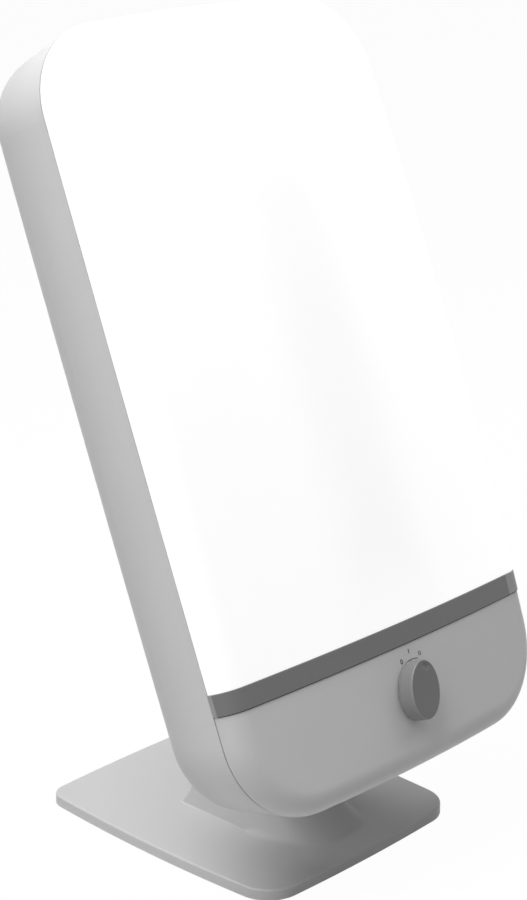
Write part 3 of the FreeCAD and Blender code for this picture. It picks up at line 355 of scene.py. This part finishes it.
# Each line gives name, light and dark colour, roughness, grain size and depth in millimetres.
# Most real grains are too fine to show from a step away, so they are drawn coarser than they are;
# each comment gives the real size.
FINISHES = {
    # Moulded in a spark-eroded mould: pale, dead even, with a fine satin tooth. Real grain 0.1 mm.
    "light_plastic": grained("abs, moulded in a spark-eroded mould", "#D4D4D5", "#D1D1D2",
                             0.48, 1.2, 0.05),
    # A smoother mould: the same grey, a little glossier. Real grain 0.05 mm.
    "panel_plastic": grained("abs, moulded, satin", "#D1D1D2", "#CECECF", 0.42, 1.2, 0.03),
    "bar_metal": bar_finish(),
    "opal_plastic": opal_sheet(),
    # Pressed rubber: near black and dull, it swallows light in the seam. Real grain 0.2 mm.
    "dark_rubber": grained("rubber, pressed", "#2A2A2B", "#232324", 0.75, 1.5, 0.08, ior=1.52),
    # Zinc plate: cool bright metal with a slight mottle. Real mottle 0.3 mm.
    "steel": grained("steel, zinc plated", "#B4B6B8", "#A6A8AA", 0.35, 0.8, 0.02, metallic=1.0),
    # Powder coat: even mid grey with a fine orange peel, at its true size.
    "painted_steel": grained("steel, powder coated", "#6C6D6F", "#666769", 0.5, 0.9, 0.06),
    # Rolled plate: dark, with a coarse scale, at its true size.
    "iron": grained("iron, rolled plate", "#4A4A4B", "#404041", 0.6, 1.5, 0.05, metallic=1.0),
    # White coated sheet: bright and nearly smooth, with the coat's peel at its true size.
    "reflector": grained("aluminium sheet, white coated", "#F0F0EF", "#ECECEB", 0.35, 1.0, 0.02),
    # Phosphor inside glass: chalk white under a gloss. Real powder 0.01 mm.
    "lamp_glass": grained("glass, phosphor coated", "#F6F6F4", "#F0F0EE", 0.25, 1.0, 0.01,
                          ior=1.52),
    # Heat-proof plastic: plain white and matt. Real grain 0.05 mm.
    "white_plastic": grained("pbt, moulded white", "#E4E4E2", "#DEDEDC", 0.45, 1.0, 0.03),
    # Black moulding: deep and slightly rough. Real grain 0.1 mm.
    "black_plastic": grained("abs, moulded black", "#242425", "#1E1E1F", 0.5, 1.0, 0.05),
    # Turned brass: warm and bright. Real tool marks 0.1 mm.
    "brass": grained("brass, turned", "#C8A45A", "#BE9A50", 0.3, 0.6, 0.01, metallic=1.0),
    # Glossy grey lacquer, which gives the rim its bright streak. Its faint peel has its true size.
    "knob_silver": grained("abs, lacquered grey", "#888888", "#848484", 0.26, 0.8, 0.01),
    # Anodised inlay: darker than the grip, with a faint brushing along the knob. Its dyed skin
    # hides the metal's shine too. Real scratches are 0.03 mm wide; they are drawn 0.12 mm wide.
    "knob_disc": grained("aluminium, anodised inlay, brushed", "#757575", "#6C6C6C",
                         0.40, 0.7, 0.02, stretch=(6, 1, 1)),
    # Bare nylon: off-white and waxy. Real grain 0.05 mm.
    "nylon": grained("nylon, moulded", "#D2D0C8", "#CCCAC2", 0.5, 1.0, 0.02),
}
# The casing's own mould leaves its walls slightly swollen, so they lighten evenly from rear edge
# to seam. Real grain 0.1 mm.
CASING_FINISH = grained("abs, moulded, crowned walls", "#D4D4D5", "#D1D1D2", 0.48, 1.2, 0.05,
                        shape=crowned_wall)
# Screen print: thin matt dark grey ink. The real screen leaves a 0.1 mm weave.
INK = grained("ink, screen printed", "#4C4D4F", "#48494B", 0.6, 0.6, 0.005)

for subpart in frame["record"]["subparts"]:
    mesh = nodes[subpart["node"]].data
    casing = subpart["node"] == "rear_casing"
    finish = CASING_FINISH if casing else FINISHES[subpart["material_slot"]]
    if len(mesh.materials) == 0:
        mesh.materials.append(finish)
    for index in range(len(mesh.materials)):
        mesh.materials[index] = finish


# ---------- mesh work ----------

def new_piece(name, bm, finish, smooth_degrees=30.0):
    """Merges doubles, turns faces outwards, shades smooth up to an angle and gives the piece its
    finish."""
    bmesh.ops.remove_doubles(bm, verts=bm.verts, dist=0.5e-6)
    bmesh.ops.recalc_face_normals(bm, faces=bm.faces)
    limit = math.radians(smooth_degrees)
    for face in bm.faces:
        face.smooth = True
    for edge in bm.edges:
        edge.smooth = len(edge.link_faces) == 2 and edge.calc_face_angle(0.0) < limit
    mesh = bpy.data.meshes.new(name)
    bm.to_mesh(mesh)
    bm.free()
    mesh.materials.append(finish)
    piece = bpy.data.objects.new(name, mesh)
    bpy.context.scene.collection.objects.link(piece)
    return piece


def bridge(bm, rings, closed=False, caps=False):
    """Quads between rings of equal count. closed joins the last ring to the first; caps closes
    both ends."""
    loops = [[bm.verts.new(point) for point in ring] for ring in rings]
    pairs = list(zip(loops, loops[1:])) + ([(loops[-1], loops[0])] if closed else [])
    count = len(loops[0])
    for first, second in pairs:
        for i in range(count):
            j = (i + 1) % count
            bm.faces.new((first[i], first[j], second[j], second[i]))
    if caps:
        bm.faces.new(loops[0][::-1])
        bm.faces.new(loops[-1])


# ---------- knob ----------

def knob_back():
    return crown(0, KNOB_V + KNOB_HALF_LENGTH) + KNOB_GAP


def oval(half_length, half_width, count=192):
    """(u, v) points round an oval that stands at the knob's angle."""
    sin, cos = math.sin(KNOB_TURN), math.cos(KNOB_TURN)
    plan = []
    for i in range(count):
        angle = 2 * math.pi * i / count
        along, aside = half_length * math.cos(angle), half_width * math.sin(angle)
        plan.append((along * sin + aside * cos, KNOB_V + along * cos - aside * sin))
    return plan


def oval_ring(half_length, half_width, w):
    return [head_point(u, v, w) for u, v in oval(half_length, half_width)]


def knob_ring(inset, w):
    return oval_ring(KNOB_HALF_LENGTH - inset, KNOB_HALF_WIDTH - inset, w)


def knob_grip():
    """Oval grip with a soft rim, a seat for the inlay and a hollow back round the switch's nut."""
    back = knob_back()
    front = back + KNOB_DEPTH
    heel, half_heel = 0.5, 0.15
    draft, rim_wide, rim_long, rim_steps = 0.12, 0.7, 2.2, 10
    rim_inner, seat, seat_edge, seat_depth = 0.9, 0.95, 0.05, 1.6
    rings = [oval_ring(NUT_HOLLOW, NUT_HOLLOW, back + NUT_HOLLOW_DEPTH),
             oval_ring(NUT_HOLLOW, NUT_HOLLOW, back),
             knob_ring(heel, back),
             knob_ring(half_heel, back + half_heel),
             knob_ring(0.0, back + heel)]
    for share in (0.25, 0.5, 0.75):
        rings.append(knob_ring(draft * share, back + heel + (KNOB_DEPTH - heel - rim_long) * share))
    for step in range(rim_steps + 1):
        angle = math.radians(90 * step / rim_steps)
        rings.append(knob_ring(draft + rim_wide * (1 - math.cos(angle)),
                               front - rim_long * (1 - math.sin(angle))))
    rings += [knob_ring(rim_inner, front), knob_ring(seat, front - seat_edge),
              knob_ring(seat, front - seat_depth)]
    bm = bmesh.new()
    bridge(bm, rings, caps=True)
    return new_piece("knob_grip", bm, FINISHES["knob_silver"], 35.0)


def mark_depth(u, v):
    """The index mark is a small dimple near the upper end, with a flat floor and soft sides."""
    du, dv = u - MARK_MIDDLE[0], v - MARK_MIDDLE[1]
    length = (du * MARK_RUN[0] + dv * MARK_RUN[1]) / MARK_LENGTH
    width = (dv * MARK_RUN[0] - du * MARK_RUN[1]) / MARK_WIDTH
    return MARK_DEPTH * math.exp(-(length ** 4) - width ** 4)


def knob_inlay():
    """Plate let into the grip, dished a hair, with the index mark pressed into it."""
    front = knob_back() + KNOB_DEPTH
    gap, underside, edge_drop = 1.02, 1.5, 0.12
    bevel, face_drop, dish_depth, steps = 0.08, 0.05, 0.12, 64
    rings = [knob_ring(gap, front - underside), knob_ring(gap, front - edge_drop)]
    half_length = KNOB_HALF_LENGTH - gap - bevel
    half_width = KNOB_HALF_WIDTH - gap - bevel
    for step in range(steps):
        share = 1 - step / steps
        dish = dish_depth * (1 - share ** 2)
        rings.append([head_point(u, v, front - face_drop - dish - mark_depth(u, v))
                      for u, v in oval(half_length * share, half_width * share)])
    bm = bmesh.new()
    bridge(bm, rings, caps=True)
    return new_piece("knob_inlay", bm, FINISHES["knob_disc"], 40.0)


grip = knob_grip()
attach(grip, "knob")
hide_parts("knob")
inlay = knob_inlay()
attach(inlay, "knob")
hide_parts("knob_face", "knob_pointer")


# ---------- print on the front covers, and the painted shadow under the trim bar ---

def laid_band(bm, path, width, lift, closed=False):
    """A thin flat band that follows the covers along a path of (u, v) points."""
    count = len(path)
    sections = []
    for i, (u, v) in enumerate(path):
        before = path[(i - 1) % count] if closed or i > 0 else path[0]
        after = path[(i + 1) % count] if closed or i < count - 1 else path[-1]
        run = Vector((after[0] - before[0], after[1] - before[1])).normalized() * (width / 2)
        left, right = (u - run.y, v + run.x), (u + run.y, v - run.x)
        corners = [(left, lift), (right, lift), (right, -BAND_SUNK), (left, -BAND_SUNK)]
        sections.append([head_point(a, b, cover_height(a, b) + rise) for (a, b), rise in corners])
    bridge(bm, sections, closed=closed, caps=not closed)


def dial_print():
    """Printed settings 0, I and II with a thin arc under them."""
    zero_u, zero_v, zero_wide, zero_high, zero_stroke = -2.5, 66.2, 0.8, 1.35, 0.62
    bars, half_bar, bar_stroke = ((5.7, 70.7), (14.1, 66.7), (15.7, 66.7)), 1.4, 0.7
    arc_u, arc_v, arc_long, arc_rise, arc_fall, arc_stroke = 0.6, 64.3, 12.2, 3.8, 0.2, 0.5
    zero_steps, arc_steps = 24, 16
    bm = bmesh.new()
    zero = []
    for i in range(zero_steps):
        angle = 2 * math.pi * i / zero_steps
        zero.append((zero_u + zero_wide * math.sin(angle), zero_v + zero_high * math.cos(angle)))
    laid_band(bm, zero, zero_stroke, PRINT_LIFT, closed=True)
    for u, v in bars:
        laid_band(bm, [(u, v - half_bar), (u, v), (u, v + half_bar)], bar_stroke, PRINT_LIFT)
    arc = []
    for i in range(arc_steps + 1):
        share = i / arc_steps
        arc.append((arc_u + arc_long * share,
                    arc_v + arc_rise * share * (1 - share) - arc_fall * share))
    laid_band(bm, arc, arc_stroke, PRINT_LIFT)
    return new_piece("dial_print", bm, INK)


def bar_shadow_strip():
    """Dark strip along the trim bar's lower edge, in the rubber finish: a painted shadow that
    darkens the real joint under the proud bar.
    """
    drop, width, inset, steps = 0.30, 0.50, 0.35, 96
    bm = bmesh.new()
    v = BAR_BOTTOM - drop
    edge = side_reach(v) - inset
    path = [(edge * math.sin(math.pi * (i / steps - 0.5)), v) for i in range(steps + 1)]
    # The strip is painted shadow, laid on the panel just under the bar.
    laid_band(bm, path, width, SHADOW_STRIP_LIFT)
    return new_piece("bar_shadow_strip", bm, FINISHES["dark_rubber"])


# The print and the painted shadow strip ride on the head.
for piece in (dial_print(), bar_shadow_strip()):
    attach(piece, "head")


# ---------- neck fillet ----------

def neck_outline(height):
    """Half the neck's outline at a height over the foot, from the middle of the rear round to the
    front, and the index of the point where the flat side ends."""
    front = NECK_FRONT - FRONT_FLARE * math.exp(-height / FRONT_FADE)
    rear = NECK_REAR + REAR_LEAN * (NECK_FULL - height) + REAR_FLARE * math.exp(-height / REAR_FADE)
    share = height / NECK_FULL
    depth = NOSE_LOW * (1 - share) + NOSE_HIGH * share
    shoulder = front + depth
    side, corner = NECK_SIDE, NECK_CORNER
    rear_steps, corner_steps, side_steps, nose_steps = 8, 8, 24, 32
    half = [((side - corner) * i / rear_steps, rear) for i in range(rear_steps + 1)]
    for i in range(1, corner_steps + 1):
        angle = math.radians(90 - 90 * i / corner_steps)
        half.append((side - corner + corner * math.cos(angle),
                     rear - corner + corner * math.sin(angle)))
    for i in range(1, side_steps + 1):
        half.append((side, rear - corner + (shoulder - rear + corner) * i / side_steps))
    crease = len(half) - 1
    # The full front is one curve from the shoulder to the nose, drawn toward these poles.
    poles = [(side, shoulder), (0.8 * side, shoulder - 0.78 * depth), (0.72 * side, front),
             (0.0, front)]
    for i in range(1, nose_steps + 1):
        t = i / nose_steps
        weights = ((1 - t) ** 3, 3 * t * (1 - t) ** 2, 3 * t * t * (1 - t), t ** 3)
        half.append(tuple(sum(w * pole[axis] for w, pole in zip(weights, poles))
                          for axis in (0, 1)))
    return half, crease


def fillet_height(index, crease, last):
    """Tight along the sides, broad and soft just past the crease, tighter again at the front."""
    tight, broad, front, blend_points = 0.8, 5.5, 1.2, 4
    if index <= crease:
        return tight
    share = (index - crease) / (last - crease)
    full = broad * (1 - share) ** 1.5 + front
    return full + (tight - full) * max(0.0, 1 - (index - crease) / blend_points)


def fillet_section(points, index, crease, sign):
    """One section of the fillet, from the wall down to the foot, closed inside the two. It stands
    a hair proud of both, so that neither shows through."""
    slope_rise, proud, sunk, inward, steps = 0.2, 0.03, 0.4, 0.6, 10
    last = len(points) - 1
    foot = Vector(points[index])
    run = Vector(points[min(index + 1, last)]) - Vector(points[max(index - 1, 0)])
    outward = Vector((-run.y, run.x)).normalized()
    start = fillet_height(index, crease, last)
    wall, above = (Vector(neck_outline(height)[0][index]) for height in (start, start + slope_rise))
    reach = (wall - foot).dot(outward)
    meet = reach - (above - wall).dot(outward) / slope_rise * start
    far = meet + math.hypot(meet - reach, start)
    section = []
    for step in range(steps + 1):
        t = step / steps
        out = (1 - t) ** 2 * reach + 2 * t * (1 - t) * meet + t * t * far + proud * (1 - t)
        section.append((wall + outward * (out - reach), (1 - t) ** 2 * start + proud * t))
    section.append((section[-1][0], -sunk))
    section.append((wall + outward * (meet - reach - inward), -sunk))
    section.append((section[0][0] - outward * inward, start))
    return [MM * Vector((sign * point.x, point.y, FOOT_TOP + up)) for point, up in section]


def neck_fillet():
    """Moulded fillet between neck and foot, in the same plastic."""
    points, crease = neck_outline(0.0)
    right, left = ([fillet_section(points, index, crease, sign) for index in range(len(points))]
                   for sign in (1, -1))
    bm = bmesh.new()
    bridge(bm, right + left[-2:0:-1], closed=True)
    return new_piece("neck_fillet", bm, FINISHES["light_plastic"], 40.0)


fillet = neck_fillet()
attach(fillet, "stand")


# ---------- screw heads ----------

def screw_tree(finish, sizes):
    """Instances one cross-recessed head on each point, turned to the point's own angles."""
    tree = bpy.data.node_groups.new("screw heads", "GeometryNodeTree")
    for in_out in ("INPUT", "OUTPUT"):
        tree.interface.new_socket(name="Geometry", in_out=in_out, socket_type="NodeSocketGeometry")
    names = {}
    for label in sizes:
        socket = tree.interface.new_socket(name=label, in_out="INPUT",
                                           socket_type="NodeSocketFloat")
        names[label] = socket.identifier
    size = add_node(tree, "NodeGroupInput").outputs
    head = add_node(tree, "GeometryNodeMeshCone", {"Vertices": 48, "Side Segments": 4},
                    {"Radius Top": size["Top Radius"], "Radius Bottom": size["Head Radius"],
                     "Depth": size["Head Height"]}, fill_type="NGON")
    recess_share = 1.1
    length = add_node(tree, "ShaderNodeMath", {1: recess_share}, {0: size["Head Radius"]},
                      operation="MULTIPLY").outputs["Value"]
    low = add_node(tree, "ShaderNodeMath", {}, {0: size["Head Height"], 1: size["Recess Depth"]},
                   operation="SUBTRACT").outputs["Value"]
    middle = add_node(tree, "ShaderNodeMath", {1: 0.5}, {0: size["Head Height"], 2: low},
                      operation="MULTIPLY_ADD")
    lift = add_node(tree, "ShaderNodeCombineXYZ", {}, {"Z": middle.outputs["Value"]})
    cut = add_node(tree, "GeometryNodeMeshBoolean", {}, {"Mesh 1": head.outputs["Mesh"]},
                   operation="DIFFERENCE")
    for across, along in (("X", "Y"), ("Y", "X")):
        extent = add_node(tree, "ShaderNodeCombineXYZ", {},
                          {across: size["Recess Width"], along: length, "Z": size["Head Height"]})
        blade = add_node(tree, "GeometryNodeMeshCube", {}, {"Size": extent.outputs["Vector"]})
        raised = add_node(tree, "GeometryNodeTransform", {},
                          {"Geometry": blade.outputs["Mesh"],
                           "Translation": lift.outputs["Vector"]})
        tree.links.new(raised.outputs["Geometry"], cut.inputs["Mesh 2"])
    angles = add_node(tree, "GeometryNodeInputNamedAttribute", {"Name": "angles"},
                      data_type="FLOAT_VECTOR")
    placed = add_node(tree, "GeometryNodeInstanceOnPoints", {},
                      {"Points": size["Geometry"], "Instance": cut.outputs["Mesh"],
                       "Rotation": angles.outputs["Attribute"]})
    real = add_node(tree, "GeometryNodeRealizeInstances", {},
                    {"Geometry": placed.outputs["Instances"]})
    coated = add_node(tree, "GeometryNodeSetMaterial", {"Material": finish},
                      {"Geometry": real.outputs["Geometry"]})
    add_node(tree, "NodeGroupOutput", {}, {"Geometry": coated.outputs["Geometry"]})
    return tree, names


def screw_heads(name, seats, depth, first_turn, turn_step):
    """Heads that face the rear at (u, v) seats and a depth behind the seam. Each is turned a
    step of degrees on from the one before, as a hand leaves them."""
    rear = head_direction(0, 0, -1)
    mesh = bpy.data.meshes.new(name + "_points")
    mesh.from_pydata([head_point(u, v, -depth) for u, v in seats], [], [])
    angles = mesh.attributes.new("angles", "FLOAT_VECTOR", "POINT")
    for i in range(len(seats)):
        turn = Matrix.Rotation(math.radians(first_turn + turn_step * i), 3, "Z")
        angles.data[i].vector = (rear.to_track_quat("Z", "Y").to_matrix() @ turn).to_euler()
    source = bpy.data.objects.new(name + "_points", mesh)
    bpy.context.scene.collection.objects.link(source)
    tree, names = screw_tree(FINISHES["steel"], SCREW_SIZES)
    modifier = source.modifiers.new("heads", "NODES")
    modifier.node_group = tree
    for label, size in SCREW_SIZES.items():
        modifier[names[label]] = size * MM
    evaluated = source.evaluated_get(bpy.context.evaluated_depsgraph_get())
    result = bpy.data.meshes.new_from_object(evaluated)
    source.modifiers.remove(modifier)
    bpy.data.objects.remove(source)
    bm = bmesh.new()
    bm.from_mesh(result)
    bpy.data.meshes.remove(result)
    return new_piece(name, bm, FINISHES["steel"])


def casing_screw_heads():
    seats = [(side * CASING_SCREW_ACROSS, v) for side in (-1, 1) for v in CASING_SCREW_HEIGHTS]
    return screw_heads("casing_screw_heads", seats, CASING_DEPTH - CASING_SCREW_SUNK, 0, 17)


def bracket_screw_heads():
    seats = [(side * BRACKET_SCREW_ACROSS, BRACKET_MIDDLE + end * BRACKET_SCREW_UP)
             for side in (-1, 1) for end in (-1, 1)]
    return screw_heads("bracket_screw_heads", seats, CASING_DEPTH + BRACKET_PLATE, 11, 23)


for heads, replaced in ((casing_screw_heads(), "casing_screws"),
                        (bracket_screw_heads(), "head_bracket_screws")):
    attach(heads, "head")
    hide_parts(replaced)


# ---------- camera, floor and light ----------

def aim(thing, place, target):
    thing.location = place
    thing.rotation_euler = (target - place).to_track_quat("-Z", "Y").to_euler()


def add_camera():
    data = bpy.data.cameras.new("camera")
    data.sensor_width = 36.0
    data.lens = CAMERA_LENS
    data.clip_end = 20.0
    camera = bpy.data.objects.new("camera", data)
    bpy.context.scene.collection.objects.link(camera)
    aim(camera, CAMERA_PLACE, CAMERA_PLACE + CAMERA_AIM)
    bpy.context.scene.camera = camera


def add_floor():
    """White paper to the camera and to gloss, with the object's soft shadow; a dimmer grey to the
    light it returns."""
    half = FLOOR_HALF
    mesh = bpy.data.meshes.new("floor")
    corners = [(-half, -half, 0), (half, -half, 0), (half, half, 0), (-half, half, 0)]
    mesh.from_pydata(corners, [], [(0, 1, 2, 3)])
    floor = bpy.data.objects.new("floor", mesh)
    bpy.context.scene.collection.objects.link(floor)
    material, tree = bare_material("paper floor")
    rays = add_node(tree, "ShaderNodeLightPath")
    tint = add_node(tree, "ShaderNodeMix",
                    {COLOUR_A: paint("#BBBBBB"), COLOUR_B: paint("#FFFFFF")},
                    {"Factor": rays.outputs["Is Camera Ray"]}, data_type="RGBA")
    paper = add_node(tree, "ShaderNodeBsdfDiffuse", {}, {"Color": tint.outputs[COLOUR_OUT]})
    white = add_node(tree, "ShaderNodeEmission", {"Strength": 1.0})
    share = add_node(tree, "ShaderNodeMath", {1: FLOOR_WHITE},
                     {0: rays.outputs["Is Camera Ray"]}, operation="MULTIPLY")
    gloss = add_node(tree, "ShaderNodeMath", {},
                     {0: rays.outputs["Is Glossy Ray"], 1: rays.outputs["Is Transmission Ray"]},
                     operation="MAXIMUM")
    both = add_node(tree, "ShaderNodeMath", {},
                    {0: share.outputs["Value"], 1: gloss.outputs["Value"]}, operation="MAXIMUM")
    blend = add_node(tree, "ShaderNodeMixShader", {},
                     {0: both.outputs["Value"], 1: paper.outputs["BSDF"],
                      2: white.outputs["Emission"]})
    add_node(tree, "ShaderNodeOutputMaterial", {}, {"Surface": blend.outputs["Shader"]})
    mesh.materials.append(material)


def add_lamp(name, place, watts):
    """A square soft box that faces the object."""
    data = bpy.data.lights.new(name, "AREA")
    data.shape = "SQUARE"
    data.size = LAMP_SIDE
    data.energy = watts
    lamp = bpy.data.objects.new(name, data)
    bpy.context.scene.collection.objects.link(lamp)
    aim(lamp, Vector(place), LAMP_TARGET)


def add_world():
    """Even room light; the camera, gloss and clear pieces see plain white."""
    world = bpy.data.worlds.new("room")
    bpy.context.scene.world = world
    world.use_nodes = True
    tree = world.node_tree
    tree.nodes.clear()
    rays = add_node(tree, "ShaderNodeLightPath")
    seen = add_node(tree, "ShaderNodeMath", {},
                    {0: rays.outputs["Is Camera Ray"], 1: rays.outputs["Is Glossy Ray"]},
                    operation="MAXIMUM")
    through = add_node(tree, "ShaderNodeMath", {},
                       {0: seen.outputs["Value"], 1: rays.outputs["Is Transmission Ray"]},
                       operation="MAXIMUM")
    strength = add_node(tree, "ShaderNodeMapRange", {"To Min": ROOM_LEVEL, "To Max": 1.0},
                        {"Value": through.outputs["Value"]})
    sky = add_node(tree, "ShaderNodeBackground", {"Color": (1, 1, 1, 1)},
                   {"Strength": strength.outputs["Result"]})
    add_node(tree, "ShaderNodeOutputWorld", {}, {"Surface": sky.outputs["Background"]})


add_camera()
add_floor()
add_world()
for lamp in LAMPS:
    add_lamp(*lamp)
bpy.context.scene.view_settings.view_transform = "Standard"
